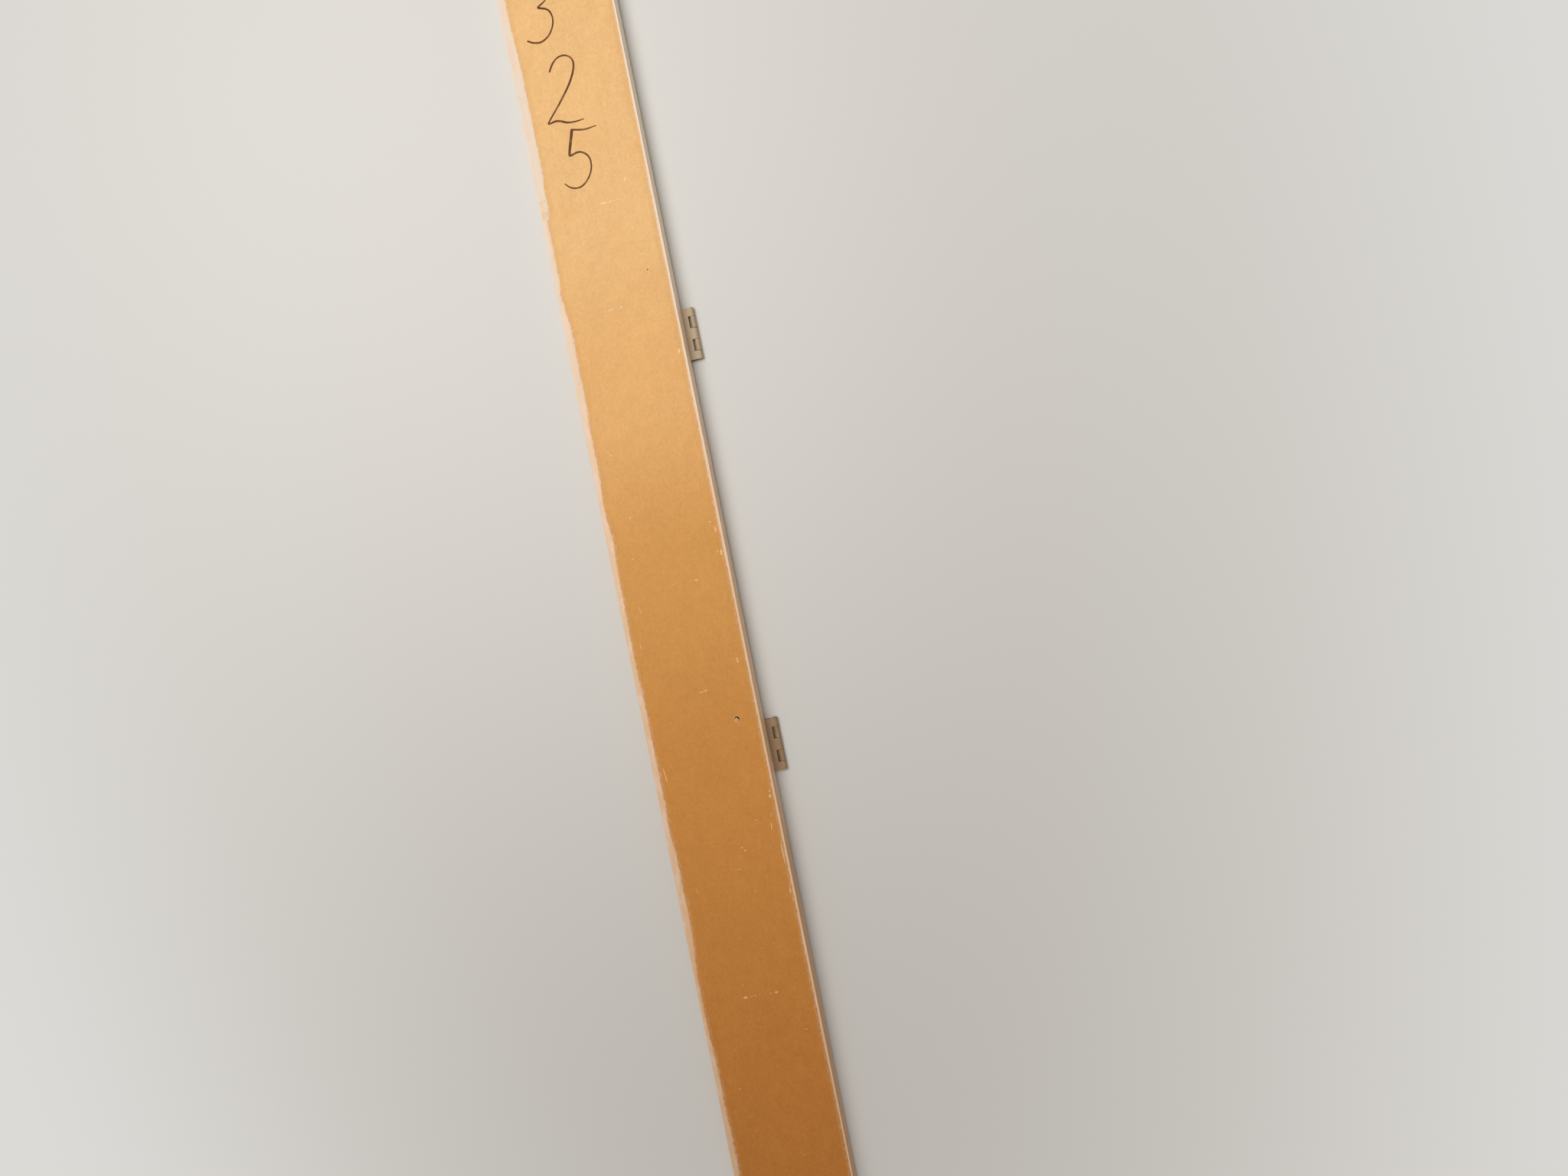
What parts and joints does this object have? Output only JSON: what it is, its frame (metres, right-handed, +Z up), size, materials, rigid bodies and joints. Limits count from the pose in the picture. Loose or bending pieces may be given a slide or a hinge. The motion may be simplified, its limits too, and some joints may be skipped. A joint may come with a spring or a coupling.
{
  "type": "door jamb leg",
  "caption": "Hinge-side leg of an interior door jamb: a long fibreboard plank, raw on its back and painted on its front and edges, with butt hinges let into its face.",
  "frame": {"origin": "floor level under the middle of the whole part, which lies with its raw back up", "axes": "+X across the board towards the hinges, +Y along the board from the foot end to the head end, +Z up"},
  "size_m": [0.1288, 2.075, 0.0212],
  "materials": {
    "fibreboard": "raw medium density fibreboard back, satin off-white paint on the front and edges, lapping raggedly onto the back",
    "painted_steel": "satin off-white wall paint over steel",
    "screw_steel": "steel screws under the same off-white paint"
  },
  "bodies": {
    "jamb": {"jamb_leg": "fibreboard", "lower_jamb_leaf": "painted_steel", "lower_hinge_pin": "painted_steel", "lower_foot_screw": "screw_steel", "lower_head_screw": "screw_steel", "upper_jamb_leaf": "painted_steel", "upper_hinge_pin": "painted_steel", "upper_foot_screw": "screw_steel", "upper_head_screw": "screw_steel"},
    "lower_door_leaf": {"lower_door_leaf": "painted_steel"},
    "upper_door_leaf": {"upper_door_leaf": "painted_steel"}
  },
  "joints": [
    {"name": "lower_hinge", "type": "hinge", "parent": "jamb", "child": "lower_door_leaf", "pos_m": [0.06166, -0.5845, 0.00275], "axis": [0, -1, 0], "range_deg": [-1.8, 268]},
    {"name": "upper_hinge", "type": "hinge", "parent": "jamb", "child": "upper_door_leaf", "pos_m": [0.06166, -0.1745, 0.00275], "axis": [0, -1, 0], "range_deg": [-1.8, 268]}
  ]
}
